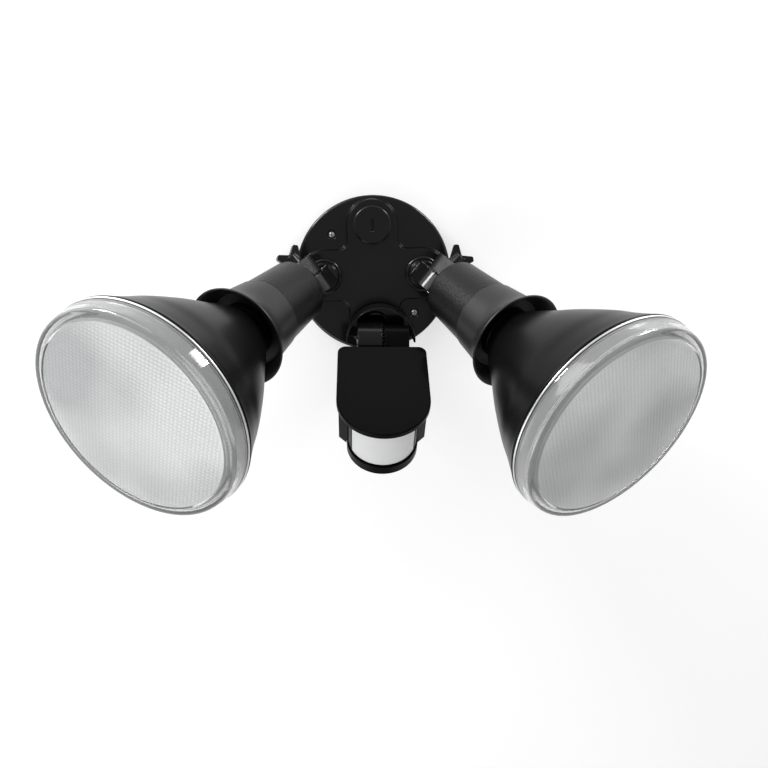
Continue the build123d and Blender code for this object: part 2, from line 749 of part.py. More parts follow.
def build_lamp_cup(arm, name):
    """Rubber cup: sleeve on the barrel's spigot and an open flange, with the neck seal inside."""
    with BuildPart() as lamp_cup:
        revolved(arm, [
            (holder_spigot_radius, holder_step), (cup_sleeve_radius, holder_step),
            (cup_bulge_radius, cup_bulge_reach), (cup_waist_radius, cup_waist_reach),
            (cup_rim_radius, cup_rim_reach), (cup_rim_radius - cup_wall, cup_rim_reach),
            (cup_waist_radius - cup_wall, cup_waist_reach + cup_wall / 2),
            (cup_bulge_radius - cup_wall, seal_front), (seal_seat_radius, seal_front),
            (seal_seat_radius, holder_front), (holder_spigot_radius, holder_front)])
    write(lamp_cup, name + "_lamp_cup")

    with BuildPart() as neck_seal:
        revolved(arm, [
            (seal_seat_radius, holder_front), (seal_seat_radius, seal_front),
            (neck_lip_radius, seal_front), (neck_lip_radius, cup_lip_reach),
            (seal_seat_radius - seal_wall, cup_lip_reach - seal_wall),
            (seal_seat_radius - seal_wall, holder_front)])
    write(neck_seal, name + "_neck_seal")


def build_socket(arm, name):
    """Moulded socket insert, its screw shell and its spring contact."""
    with BuildPart() as socket_insert:
        revolved(arm, [
            (insert_bore_radius, holder_back + holder_floor), (insert_radius, holder_back + holder_floor),
            (insert_radius, insert_front), (shell_outer_radius, insert_front),
            (shell_outer_radius, insert_floor), (insert_bore_radius, insert_floor)])
    write(socket_insert, name + "_socket_insert")

    with BuildPart() as screw_shell:
        revolved(arm, [
            (shell_inner_radius, shell_back), (shell_outer_radius, shell_back),
            (shell_outer_radius, insert_front), (shell_inner_radius, insert_front)])
    write(screw_shell, name + "_screw_shell")

    contact_reach = lamp_end - contact_gap
    with BuildPart() as centre_contact:
        with BuildSketch(across_plane(arm, contact_reach - contact_thickness)):
            Rectangle(contact_length, contact_width)
        extrude(amount=contact_thickness)
        with BuildSketch(across_plane(arm, insert_floor)):
            with Locations((contact_width / 2 - contact_length / 2, 0)):
                Rectangle(contact_width, contact_width)
        extrude(amount=contact_reach - insert_floor)
    write(centre_contact, name + "_centre_contact")


def bell_radius(reach):
    """Radius of the lamp's bell at a reach, straight between the points of its outline."""
    points = [(collar_radius, bell_back), *bell_outline, (lamp_ring_radius, ring_back)]
    for (radius, start), (next_radius, end) in zip(points, points[1:]):
        if reach <= end:
            return radius + (next_radius - radius) * (reach - start) / (end - start)
    return lamp_ring_radius


def build_lamp(arm, name):
    """Sealed reflector lamp: cap, body, bright ring, lens, light board and driver."""
    plug_radius = lamp_cap_radius - lamp_cap_wall
    web_back = board_reach - lamp_body_wall
    web_corner = (bell_radius(web_back) - lamp_body_wall, web_back)
    board_seat_radius = bell_radius(board_reach) - lamp_body_wall
    bell_inside = [(radius - lamp_body_wall, reach) for radius, reach in bell_outline
                   if reach < web_back - lamp_body_wall]
    with BuildPart() as lamp_cap:
        revolved(arm, [
            (plug_radius, cap_back), (lamp_cap_radius, cap_back),
            (lamp_cap_radius, cap_front), (plug_radius, cap_front)])
        for groove in range(cap_thread_turns):
            groove_reach = cap_back + cap_thread_pitch + cap_thread_pitch * groove
            with BuildSketch(aim_plane(arm)):
                with Locations((lamp_cap_radius, groove_reach)):
                    Circle(cap_thread_depth)
            revolve(axis=Axis(arm.head, arm.aim), mode=Mode.SUBTRACT)
    write(lamp_cap, name + "_lamp_cap")

    with BuildPart() as cap_contact:
        revolved(arm, [
            (0, lamp_end), (lamp_contact_radius, lamp_end),
            (lamp_contact_radius, lamp_end + lamp_contact_height), (plug_radius, cap_back),
            (plug_radius, cap_back + lamp_insulator_length), (0, cap_back + lamp_insulator_length)])
    write(cap_contact, name + "_cap_contact")

    with BuildPart() as lamp_body:
        with BuildSketch(aim_plane(arm)):
            with BuildLine():
                Polyline(
                    (plug_radius - lamp_body_wall, cap_back + lamp_insulator_length),
                    (plug_radius, cap_back + lamp_insulator_length), (plug_radius, cap_front),
                    (lamp_neck_radius, cap_front), (lamp_neck_radius, neck_front),
                    (collar_radius - collar_bevel, bell_back - collar_bevel_length),
                    (collar_radius, bell_back), bell_outline[0])
                Spline(*bell_outline, (lamp_ring_radius, ring_back))
                Polyline(
                    (lamp_ring_radius, ring_back), (lamp_ring_radius - lamp_body_wall, ring_back),
                    (board_seat_radius, board_reach), (0, board_reach), (0, web_back), web_corner)
                Spline(web_corner, *reversed(bell_inside))
                Polyline(
                    bell_inside[0], (lamp_neck_radius - lamp_body_wall, neck_front),
                    (lamp_neck_radius - lamp_body_wall, cap_front + lamp_body_wall),
                    (plug_radius - lamp_body_wall, cap_front + lamp_body_wall),
                    (plug_radius - lamp_body_wall, cap_back + lamp_insulator_length))
            make_face()
        revolve(axis=Axis(arm.head, arm.aim))
    write(lamp_body, name + "_lamp_body")

    with BuildPart() as lamp_ring:
        revolved(arm, [
            (lens_inner_radius, ring_back), (lamp_ring_radius, ring_back),
            (lamp_ring_radius, ring_front), (lens_inner_radius, ring_front)])
    write(lamp_ring, name + "_lamp_ring")

    lens_foot = (lamp_ring_radius - lens_foot_inset, ring_front)
    lens_edge = (lamp_ring_radius - lens_edge_inset, lamp_front - lens_dome_rise)
    lens_side = (lamp_ring_radius - lens_side_inset, lens_edge[1] - lens_corner_height)
    lens_corner = tuple((side + edge) / 2 + lens_corner_bulge for side, edge in zip(lens_side, lens_edge))
    edge_slope = 2 * (lamp_front - lens_edge[1]) / lens_edge[0]
    with BuildPart() as lamp_lens:
        with BuildSketch(aim_plane(arm)):
            with BuildLine():
                Polyline((lens_inner_radius, ring_front), lens_foot, lens_side)
                ThreePointArc(lens_side, lens_corner, lens_edge)
                Spline(lens_edge, (0, lamp_front), tangents=[(-1, edge_slope), (-1, 0)])
                Polyline(
                    (0, lamp_front), (0, lamp_front - lens_thickness),
                    (lens_inner_radius, lens_edge[1] - lens_thickness), (lens_inner_radius, ring_front))
            make_face()
        revolve(axis=Axis(arm.head, arm.aim))
    write(lamp_lens, name + "_lamp_lens")

    with BuildPart() as led_board:
        with BuildSketch(across_plane(arm, board_reach)):
            Circle(board_seat_radius - fit_gap)
        extrude(amount=led_board_thickness)
        with BuildSketch(across_plane(arm, board_reach + led_board_thickness)):
            with PolarLocations(led_circle, led_count):
                Circle(led_radius)
            Circle(led_radius)
        extrude(amount=led_height)
    write(led_board, name + "_led_board")

    with BuildPart() as driver_board:
        with BuildSketch(across_plane(arm, web_back - driver_length)):
            Rectangle(driver_width, driver_thickness)
        extrude(amount=driver_length)
    write(driver_board, name + "_driver_board")


for lamp_arm, lamp_name in ((left, "left"), (right, "right")):
    build_screw_and_knob(lamp_arm, lamp_name)
    build_lampholder(lamp_arm, lamp_name)
    build_lamp_cup(lamp_arm, lamp_name)
    build_socket(lamp_arm, lamp_name)
    build_lamp(lamp_arm, lamp_name)

# ---------------------------------------------------------------- sensor head
sensor_knuckle_start = sensor_joint_face + knuckle_gap
sensor_knuckle_end = sensor_knuckle_start + sensor_head_knuckle_length
case_screw_places = [(side * case_screw_side, reach) for side in (-1, 1) for reach in case_screw_reach]
window_place = (0, window_centre)

# Rear housing: a tub under the hood, open to the lens in front
with BuildPart() as sensor_housing:
    with BuildSketch(aim_plane(sensor, hood_underside)) as plan:
        with BuildLine():
            Polyline(
                (-housing_half_width, hood_back), (housing_half_width, hood_back),
                (housing_half_width, housing_cheek_reach),
                (housing_front_half_width, housing_front_reach),
                (-housing_front_half_width, housing_front_reach),
                (-housing_half_width, housing_cheek_reach), close=True)
        make_face()
        fillet(plan.vertices().group_by(Axis.Y)[0], radius=housing_corner_round)
    extrude(amount=housing_depth)
    with BuildSketch(aim_plane(sensor, hood_underside)) as cavity:
        with BuildLine():
            Polyline(
                (housing_wall - housing_half_width, hood_back + housing_wall),
                (housing_half_width - housing_wall, hood_back + housing_wall),
                (housing_half_width - housing_wall, housing_cheek_reach - housing_wall / 2),
                (housing_front_half_width, housing_front_reach - 1.5 * housing_wall),
                (-housing_front_half_width, housing_front_reach - 1.5 * housing_wall),
                (housing_wall - housing_half_width, housing_cheek_reach - housing_wall / 2), close=True)
        make_face()
        fillet(cavity.vertices().group_by(Axis.Y)[0], radius=housing_corner_round - housing_wall)
    extrude(amount=housing_depth - housing_wall, mode=Mode.SUBTRACT)
    with BuildSketch(aim_plane(sensor, hood_underside)):
        with Locations(*case_screw_places):
            Circle(case_column_radius)
    extrude(amount=housing_depth)
    with BuildSketch(aim_plane(sensor, hood_underside)):
        with Locations(window_place):
            Circle(window_radius + fit_gap)
    extrude(amount=housing_depth, mode=Mode.SUBTRACT)
    with BuildSketch(aim_plane(sensor, window_bottom + fit_gap)):
        with Locations(window_place):
            Circle(rim_radius + fit_gap)
    extrude(amount=housing_depth, mode=Mode.SUBTRACT)
    add_head_knuckle(sensor, sensor_joint_face, sensor_head_knuckle_length,
                     hood_back + stem_foot_thickness / 2, sensor_stem_level, sensor_stem_half_height)
    with BuildSketch(knuckle_plane(sensor, sensor_knuckle_end)):
        Circle(sensor_screw_head_radius + fit_gap)
    extrude(amount=-(sensor_screw_head_height + fit_gap), mode=Mode.SUBTRACT)
    cut_head_wire_way(sensor, sensor_joint_face, hood_back + housing_wall)
    with BuildSketch(aim_plane(sensor, hood_underside)):
        with Locations(*case_screw_places):
            Circle(case_screw_radius + turning_clearance)
    extrude(amount=housing_depth, mode=Mode.SUBTRACT)
    with BuildSketch(aim_plane(sensor, housing_floor)):
        with Locations(*case_screw_places):
            Circle(case_screw_head_radius + fit_gap)
    extrude(amount=-(housing_depth - case_screw_length), mode=Mode.SUBTRACT)
write(sensor_housing, "sensor_housing")

# Hood: flat roof with a half-round nose
with BuildPart() as sensor_hood:
    with BuildSketch(aim_plane(sensor, hood_top)) as roof:
        with Locations((0, hood_back + hood_straight / 2)):
            Rectangle(2 * hood_half_width, hood_straight)
        with Locations((0, hood_arc_reach)):
            Circle(hood_half_width)
        fillet(roof.vertices().group_by(Axis.Y)[0], radius=hood_corner_round)
    extrude(amount=hood_thickness)
    roof_face = sensor_hood.faces().sort_by(Axis(sensor.head, sensor.crown))[-1]
    fillet(roof_face.edges(), radius=hood_edge_round)
    with BuildSketch(aim_plane(sensor, hood_underside)):
        with Locations(*case_screw_places):
            Circle(case_screw_radius)
    extrude(amount=-hood_screw_depth, mode=Mode.SUBTRACT)
write(sensor_hood, "sensor_hood")

with BuildPart() as sensor_case_screws:
    with BuildSketch(aim_plane(sensor, hood_underside + hood_screw_depth)):
        with Locations(*case_screw_places):
            Circle(case_screw_radius)
    extrude(amount=case_screw_length + hood_screw_depth)
    with BuildSketch(aim_plane(sensor, hood_underside - case_screw_length)):
        with Locations(*case_screw_places):
            Circle(case_screw_head_radius)
    extrude(amount=case_screw_head_height)
write(sensor_case_screws, "sensor_case_screws")


def tube_segment(outer, inner, half_angle, top, height, mode=Mode.ADD):
    """Front part of an upright tube round the window's centre."""
    wedge = 2 * outer
    side_x = wedge * sin(radians(half_angle))
    side_y = window_centre + wedge * cos(radians(half_angle))
    far_y = window_centre + 2 * wedge
    with BuildSketch(aim_plane(sensor, top)) as segment:
        with Locations(window_place):
            Circle(outer)
            Circle(inner, mode=Mode.SUBTRACT)
        with BuildLine():
            Polyline(
                window_place, (side_x, side_y), (wedge, far_y), (-wedge, far_y), (-side_x, side_y),
                close=True)
        make_face(mode=Mode.INTERSECT)
    extrude(segment.sketch, amount=height, mode=mode)


# Frame round the window, and the moulded lens that fills it
window_top = hood_underside - window_edge
glazed_height = window_height - 2 * window_edge
with BuildPart() as sensor_frame:
    tube_segment(window_radius, window_radius - frame_wall, frame_half_angle, hood_underside,
                 window_height)
    tube_segment(window_radius + frame_wall, window_radius - 2 * frame_wall, window_half_angle, window_top,
                 glazed_height, Mode.SUBTRACT)
write(sensor_frame, "sensor_frame")

with BuildPart() as sensor_lens:
    tube_segment(sensor_lens_radius, sensor_lens_radius - sensor_lens_thickness, window_half_angle,
                 window_top, glazed_height)
write(sensor_lens, "sensor_lens")

# Bottom cap: a shallow tub under the frame, with a recess for each dial
dial_places = [(place * dial_spacing, window_centre) for place in (-1, 0, 1)]
with BuildPart() as sensor_bottom_cap:
    with BuildSketch(aim_plane(sensor, window_bottom)):
        with Locations(window_place):
            Circle(rim_radius)
    extrude(amount=rim_height)
    with BuildSketch(aim_plane(sensor, window_bottom)):
        with Locations(window_place):
            Circle(rim_radius - rim_wall)
    extrude(amount=rim_height - rim_floor, mode=Mode.SUBTRACT)
    with BuildSketch(aim_plane(sensor, window_bottom)):
        with Locations(*dial_places):
            Circle(dial_stem_radius + turning_clearance)
    extrude(amount=rim_height, mode=Mode.SUBTRACT)
    with BuildSketch(aim_plane(sensor, rim_bottom)):
        with Locations(*dial_places):
            Circle(dial_radius + fit_gap)
    extrude(amount=-dial_recess_depth, mode=Mode.SUBTRACT)
write(sensor_bottom_cap, "sensor_bottom_cap")

# Board across the housing, with the heat detector on its front
with BuildPart() as sensor_board:
    with BuildSketch(across_plane(sensor, sensor_board_reach)):
        with Locations((0, sensor_board_level)):
            Rectangle(2 * sensor_board_half_width, sensor_board_height)
    extrude(amount=sensor_board_thickness)
    with BuildSketch(across_plane(sensor, sensor_board_reach)):
        with Locations((0, sensor_board_level)):
            with GridLocations(pot_spacing, pot_spacing, 3, 2):
                Rectangle(pot_size, pot_size)
    extrude(amount=-pot_size)
write(sensor_board, "sensor_board")

with BuildPart() as heat_detector:
    with BuildSketch(across_plane(sensor, sensor_board_reach + sensor_board_thickness)):
        with Locations((0, detector_level)):
            Circle(detector_flange_radius)
    extrude(amount=detector_flange_height)
    with BuildSketch(across_plane(sensor, sensor_board_reach + sensor_board_thickness)):
        with Locations((0, detector_level)):
            Circle(detector_radius)
    extrude(amount=detector_height)
write(heat_detector, "heat_detector")

# Hinge screw of the sensor, its head sunk in the end of the knuckle
with BuildPart() as sensor_hinge_screw:
    screw_start = sensor_joint_face - sensor_arm_knuckle_length - screw_end_past_nut
    screw_head_start = sensor_knuckle_end - sensor_screw_head_height
    with BuildSketch(knuckle_plane(sensor, screw_start)):
        Circle(hinge_screw_radius)
    extrude(amount=screw_head_start - screw_start)
    with BuildSketch(knuckle_plane(sensor, screw_head_start)):
        Circle(sensor_screw_head_radius)
    extrude(amount=sensor_screw_head_height)
    with BuildSketch(knuckle_plane(sensor, sensor_knuckle_end)):
        Rectangle(hinge_slot_length, cross_slot_width)
        Rectangle(cross_slot_width, hinge_slot_length)
    extrude(amount=-cross_slot_depth, mode=Mode.SUBTRACT)
write(sensor_hinge_screw, "sensor_hinge_screw")

# Three dials that turn in the bottom cap, each held by a flange inside it
stem_top = rim_bottom + rim_floor + dial_end_play
head_top = rim_bottom + dial_recess_depth - dial_end_play
for dial_place, dial_name in zip(dial_places, ("time_dial", "lux_dial", "sensitivity_dial")):
    with BuildPart() as dial:
        with BuildSketch(aim_plane(sensor, head_top)):
            with Locations(dial_place):
                Circle(dial_radius)
        extrude(amount=dial_head_height)
        with BuildSketch(aim_plane(sensor, stem_top)):
            with Locations(dial_place):
                Circle(dial_stem_radius)
        extrude(amount=stem_top - head_top)
        with BuildSketch(aim_plane(sensor, stem_top)):
            with Locations(dial_place):
                Circle(dial_flange_radius)
        extrude(amount=-dial_flange_height)
        with BuildSketch(aim_plane(sensor, head_top - dial_head_height)):
            with Locations(dial_place):
                Rectangle(dial_slot_width, 2 * dial_radius)
        extrude(amount=-dial_slot_depth, mode=Mode.SUBTRACT)
    write(dial, dial_name)
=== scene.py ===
import json
from math import radians

import bmesh
import bpy
import numpy as np
from mathutils import Matrix, Vector


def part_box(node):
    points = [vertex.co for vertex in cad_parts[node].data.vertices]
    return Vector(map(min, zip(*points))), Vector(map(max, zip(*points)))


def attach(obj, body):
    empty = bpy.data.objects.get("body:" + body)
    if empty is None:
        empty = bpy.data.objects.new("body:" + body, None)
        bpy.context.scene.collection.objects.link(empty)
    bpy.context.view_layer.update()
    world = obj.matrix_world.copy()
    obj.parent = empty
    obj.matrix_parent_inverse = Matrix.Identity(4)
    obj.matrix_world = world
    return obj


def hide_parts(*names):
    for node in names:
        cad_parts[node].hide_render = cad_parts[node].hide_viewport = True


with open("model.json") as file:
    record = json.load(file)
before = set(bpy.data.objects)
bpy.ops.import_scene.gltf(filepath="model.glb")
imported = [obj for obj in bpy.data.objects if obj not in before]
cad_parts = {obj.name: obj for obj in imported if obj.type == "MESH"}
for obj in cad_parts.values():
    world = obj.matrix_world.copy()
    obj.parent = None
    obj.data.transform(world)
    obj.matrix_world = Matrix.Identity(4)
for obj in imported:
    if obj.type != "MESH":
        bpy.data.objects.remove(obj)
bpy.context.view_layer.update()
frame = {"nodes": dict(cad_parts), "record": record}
record = frame["record"]
joints = {joint["name"]: joint for joint in record["behaviour"]["joints"]}
slotOf = {entry["node"]: entry["material_slot"] for entry in record["subparts"]}
bodyOf = {node: body for body, nodes in record["behaviour"]["bodies"].items() for node in nodes}
mm = 0.001
hingeToTurn = 60.0  # mm along a lamp's axis, from its hinge to the joint that it turns on


def lampPlace(side):
    # the lamp's own axes: out is where it shines, across is along the knuckle's hinge
    turn = joints[side + "_lamp_turn"]
    out = np.array(turn["axis"], float)
    across = np.array(joints[side + "_knob_turn"]["axis"], float)
    start = np.array(turn["pos_m"], float) - hingeToTurn * mm * out
    return {"start": start, "out": out, "across": across, "up": np.cross(out, across)}


places = {side: lampPlace(side) for side in ("left", "right")}
print("places read")

# what tidies every new mesh, in metres
weldSettings = {"merge": 2e-6, "sliver": 1e-6}


def meshPiece(name, points, faces, body, replaced=(), smoothAngle=40,
              faceMaterial=None, pillow=None):
    # points (n, 3) in metres and quads (m, 4) become a welded, outward-facing piece on its body
    mesh = bpy.data.meshes.new(name)
    mesh.vertices.add(len(points))
    mesh.vertices.foreach_set("co", points.astype(np.float32).ravel())
    mesh.loops.add(faces.size)
    mesh.loops.foreach_set("vertex_index", faces.astype(np.int32).ravel())
    mesh.polygons.add(len(faces))
    mesh.polygons.foreach_set("loop_start", np.arange(len(faces), dtype=np.int32) * 4)
    if faceMaterial is not None:
        mesh.polygons.foreach_set("material_index", faceMaterial.astype(np.int32))
    # pillow, where given, is kept on the points for the lens colour's painted shade in its grooves
    if pillow is not None:
        height = mesh.attributes.new("pillow", "FLOAT", "POINT")
        height.data.foreach_set("value", pillow.astype(np.float32))
    mesh.update(calc_edges=True)
    work = bmesh.new()
    work.from_mesh(mesh)
    bmesh.ops.remove_doubles(work, verts=work.verts, dist=weldSettings["merge"])
    bmesh.ops.dissolve_degenerate(work, edges=work.edges, dist=weldSettings["sliver"])
    bmesh.ops.recalc_face_normals(work, faces=work.faces)
    work.to_mesh(mesh)
    work.free()
    mesh.shade_smooth()
    mesh.set_sharp_from_angle(angle=radians(smoothAngle))
    piece = bpy.data.objects.new(name, mesh)
    bpy.context.scene.collection.objects.link(piece)
    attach(piece, body)
    if replaced:
        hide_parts(*replaced)
    return piece


def finished(piece, *materials):
    for material in materials:
        piece.data.materials.append(material)
    return piece


def gridFaces(rows, columns, closeRows=False, closeColumns=False):
    # quads between neighbours of a rows by columns grid of points
    i = np.arange(rows if closeRows else rows - 1)
    j = np.arange(columns if closeColumns else columns - 1)
    i, j = np.meshgrid(i, j, indexing="ij")
    i2, j2 = (i + 1) % rows, (j + 1) % columns
    corners = [i * columns + j, i * columns + j2, i2 * columns + j2, i2 * columns + j]
    return np.stack(corners, -1).reshape(-1, 4)


def smoothLine(points, count):
    # a cubic for each span, through both its points, whose slope at a point is half of the way
    # between that point's neighbours; count samples to a span
    points = np.array(points, float)
    padded = np.vstack([2 * points[0] - points[1], points, 2 * points[-1] - points[-2]])
    a, b, c, d = padded[:-3, None], padded[1:-2, None], padded[2:-1, None], padded[3:, None]
    t = (np.arange(count) / count)[None, :, None]
    square = (2 * a - 5 * b + 4 * c - d) * t ** 2
    cube = (3 * b - a - 3 * c + d) * t ** 3
    curve = 0.5 * (2 * b + (c - a) * t + square + cube)
    return np.vstack([curve.reshape(-1, points.shape[1]), points[-1]])


def turned(profile, place, segments, startAngle=0.0):
    # a profile of radius and reach, in mm, carried round the lamp's axis: start, plus radius times
    # the cosine across and the sine up, plus reach times out
    angle = startAngle + np.linspace(0, 2 * np.pi, segments, endpoint=False)
    ring = np.cos(angle)[:, None] * place["across"] + np.sin(angle)[:, None] * place["up"]
    radius, reach = profile[:, 0] * mm, profile[:, 1] * mm
    points = (place["start"] + radius[None, :, None] * ring[:, None, :]
              + reach[None, :, None] * place["out"])
    return points.reshape(-1, 3), gridFaces(segments, len(profile), closeRows=True)


def linear(hexColour):
    # sRGB hex to linear light
    value = np.array([int(hexColour[i:i + 2], 16) for i in (1, 3, 5)]) / 255
    value = np.where(value <= 0.04045, value / 12.92, ((value + 0.055) / 1.055) ** 2.4)
    return (*[float(v) for v in value], 1.0)


def addNode(tree, kind, settings=None, links=None):
    # one node: settings are its unlinked inputs or its own properties, links are inputs that
    # (node, output) feeds; an input goes by its name, or by its number where names repeat
    node = tree.nodes.new(kind)
    for key, value in (settings or {}).items():
        if isinstance(key, int) or key in node.inputs:
            node.inputs[key].default_value = value
        else:
            setattr(node, key, value)
    for key, (source, output) in (links or {}).items():
        tree.links.new(source.outputs[output], node.inputs[key])
    return node


def newMaterial(name):
    material = bpy.data.materials.new(name)
    material.use_nodes = True
    material.node_tree.nodes.clear()
    return material, material.node_tree


def finishMaterial(material, shader):
    addNode(material.node_tree, "ShaderNodeOutputMaterial", links={"Surface": (shader, 0)})
    material.diffuse_color = shader.inputs["Base Color"].default_value
    return material


# what a moulded finish has unless it says otherwise; skin is the glossy skin left by the mould
mouldedDefaults = {"glossSpread": 0.06, "edgeMm": 0.35, "skin": 0.0, "skinRoughness": 0.15}


def mouldedMaterial(name, settings):
    # plastic or rubber from a mould, or a baked enamel: a grain of its own size, and slow changes of
    # tone and gloss
    settings = {**mouldedDefaults, **settings}
    roughness, spread = settings["roughness"], settings["glossSpread"]
    material, tree = newMaterial(name)
    place = addNode(tree, "ShaderNodeTexCoord")
    grain = addNode(tree, "ShaderNodeTexNoise",
                    {"Scale": 1000 / settings["grainMm"], "Detail": 3.0, "Roughness": 0.6},
                    {"Vector": (place, "Object")})
    cloud = addNode(tree, "ShaderNodeTexNoise", {"Scale": 1000 / settings["cloudMm"], "Detail": 2.0},
                    {"Vector": (place, "Object")})
    # inputs 6 and 7 of a colour mix are its two colours
    tone = addNode(tree, "ShaderNodeMix",
                   {"data_type": "RGBA", 6: linear(settings["dark"]), 7: linear(settings["pale"])},
                   {"Factor": (cloud, "Fac")})
    gloss = addNode(tree, "ShaderNodeMapRange",
                    {"To Min": roughness - spread, "To Max": roughness + spread},
                    {"Value": (cloud, "Fac")})
    edge = addNode(tree, "ShaderNodeBevel", {"Radius": settings["edgeMm"] * mm})
    bump = addNode(tree, "ShaderNodeBump",
                   {"Strength": settings["bump"], "Distance": settings["depthMm"] * mm},
                   {"Height": (grain, "Fac"), "Normal": (edge, 0)})
    shader = addNode(tree, "ShaderNodeBsdfPrincipled",
                     {"IOR": settings["ior"], "Specular IOR Level": settings["specular"],
                      "Coat Weight": settings["skin"], "Coat Roughness": settings["skinRoughness"]},
                     {"Base Color": (tone, 2), "Roughness": (gloss, 0), "Normal": (bump, 0),
                      "Coat Normal": (edge, 0)})
    return finishMaterial(material, shader)


# shared by the metals: how long a scratch is drawn, how far the gloss strays, edge and depth in mm
metalDefaults = {"stretch": 0.08, "smoother": 0.08, "rougher": 0.1, "edgeMm": 0.25, "depthMm": 0.02}


def metalMaterial(name, settings):
    # bare or plated metal: fine scratches along one direction over a slow change of gloss
    settings = {**metalDefaults, **settings}
    roughness = settings["roughness"]
    material, tree = newMaterial(name)
    place = addNode(tree, "ShaderNodeTexCoord")
    stretch = addNode(tree, "ShaderNodeMapping", {"Scale": (1.0, settings["stretch"], 1.0)},
                      {"Vector": (place, "Object")})
    scratch = addNode(tree, "ShaderNodeTexNoise",
                      {"Scale": 1000 / settings["scratchMm"], "Detail": 4.0},
                      {"Vector": (stretch, "Vector")})
    gloss = addNode(tree, "ShaderNodeMapRange",
                    {"To Min": roughness - settings["smoother"], "To Max": roughness + settings["rougher"]},
                    {"Value": (scratch, "Fac")})
    edge = addNode(tree, "ShaderNodeBevel", {"Radius": settings["edgeMm"] * mm})
    bump = addNode(tree, "ShaderNodeBump",
                   {"Strength": settings["bump"], "Distance": settings["depthMm"] * mm},
                   {"Height": (scratch, "Fac"), "Normal": (edge, 0)})
    shader = addNode(tree, "ShaderNodeBsdfPrincipled",
                     {"Base Color": linear(settings["colour"]), "Metallic": 1.0},
                     {"Roughness": (gloss, 0), "Normal": (bump, 0)})
    return finishMaterial(material, shader)


# black polycarbonate, spark-eroded mould: satin with a fine even grain and a clear skin on top
blackPolycarbonate = mouldedMaterial("black polycarbonate", {
    "dark": "#08080a", "pale": "#0c0c0e", "roughness": 0.4, "ior": 1.58, "specular": 0.06,
    "grainMm": 0.55, "cloudMm": 24, "bump": 0.25, "depthMm": 0.03, "edgeMm": 0.8,
    "skin": 0.6, "skinRoughness": 0.12})
# grained polycarbonate of the holders: a leathery pebble that catches the light in specks
grainedPolycarbonate = mouldedMaterial("grained polycarbonate", {
    "dark": "#09090a", "pale": "#0e0e0f", "roughness": 0.34, "ior": 1.58, "specular": 0.18,
    "grainMm": 1.2, "cloudMm": 18, "bump": 1.0, "depthMm": 0.3})
# black EPDM rubber, pressed: a soft broad shine over a faint bloom
epdmRubber = mouldedMaterial("black EPDM rubber", {
    "dark": "#141415", "pale": "#1b1b1c", "roughness": 0.4, "ior": 1.5, "specular": 0.4,
    "grainMm": 0.7, "cloudMm": 15, "bump": 0.15, "depthMm": 0.03})
# smooth black ABS of the sensor, polished mould: deep black, no grain to speak of
blackAbs = mouldedMaterial("black ABS", {
    "dark": "#050506", "pale": "#080809", "roughness": 0.34, "ior": 1.54, "specular": 0.02,
    "grainMm": 0.5, "cloudMm": 30, "bump": 0.1, "depthMm": 0.02, "edgeMm": 0.6,
    "skin": 0.1, "skinRoughness": 0.1})
# stove enamel on the lamp's shell, sprayed and baked: satin, with a trace of orange peel
lampEnamel = mouldedMaterial("black stove enamel", {
    "dark": "#08080a", "pale": "#0b0b0c", "roughness": 0.3, "ior": 1.5, "specular": 0.1,
    "grainMm": 2.2, "cloudMm": 40, "bump": 0.06, "depthMm": 0.05})
# grey ABS of the sensor's three dials, polished mould: plain and even
greyAbs = mouldedMaterial("grey ABS", {
    "dark": "#6a6b6d", "pale": "#77787a", "roughness": 0.4, "ior": 1.54, "specular": 0.5,
    "grainMm": 0.5, "cloudMm": 10, "bump": 0.1, "depthMm": 0.02})
# milk-white polyethylene of the sensor's window: even and waxy
milkPolyethylene = mouldedMaterial("milk white polyethylene", {
    "dark": "#ebecec", "pale": "#f7f7f7", "roughness": 0.34, "ior": 1.51, "specular": 0.5,
    "grainMm": 0.8, "cloudMm": 12, "bump": 0.06, "depthMm": 0.02})
# white nylon of the terminal block, moulded: warm and slightly dull
whiteNylon = mouldedMaterial("white nylon", {
    "dark": "#d9d6cc", "pale": "#e6e3da", "roughness": 0.45, "ior": 1.53, "specular": 0.5,
    "grainMm": 0.6, "cloudMm": 12, "bump": 0.1, "depthMm": 0.02})
# green glass epoxy of the circuit boards, pressed and lacquered: a faint mottle, evenly glossy
boardLaminate = mouldedMaterial("green glass epoxy board", {
    "dark": "#1d5a35", "pale": "#266b40", "roughness": 0.35, "ior": 1.55, "specular": 0.5,
    "grainMm": 1.1, "cloudMm": 9, "bump": 0.08, "depthMm": 0.02})
# white solder mask, printed over an aluminium core: flat and bright
whiteBoard = mouldedMaterial("white solder mask", {
    "dark": "#dcdedd", "pale": "#ececea", "roughness": 0.4, "ior": 1.5, "specular": 0.5,
    "grainMm": 1.0, "cloudMm": 14, "bump": 0.05, "depthMm": 0.02})
# zinc-plated steel: pale grey, softly scratched
zincSteel = metalMaterial("zinc plated steel", {
    "colour": "#b9bcbf", "roughness": 0.32, "scratchMm": 0.6, "bump": 0.15})
# black oxide steel: dark grey with a dull sheen
blackSteel = metalMaterial("black oxide steel", {
    "colour": "#4a4b4d", "roughness": 0.34, "scratchMm": 0.6, "bump": 0.15})
# bright rolled aluminium of the lamp's ring and chamber: nearly white, broad reflections
brightAluminium = metalMaterial("bright rolled aluminium", {
    "colour": "#f4f4f5", "roughness": 0.34, "scratchMm": 0.8, "bump": 0.05})
# drawn aluminium of the screw cap: brushed by the die
plainAluminium = metalMaterial("drawn aluminium", {
    "colour": "#c9cacc", "roughness": 0.3, "scratchMm": 0.8, "bump": 0.1})
# rolled brass of the contacts: warm yellow
springBrass = metalMaterial("rolled brass", {
    "colour": "#c8a35a", "roughness": 0.28, "scratchMm": 0.5, "bump": 0.12})
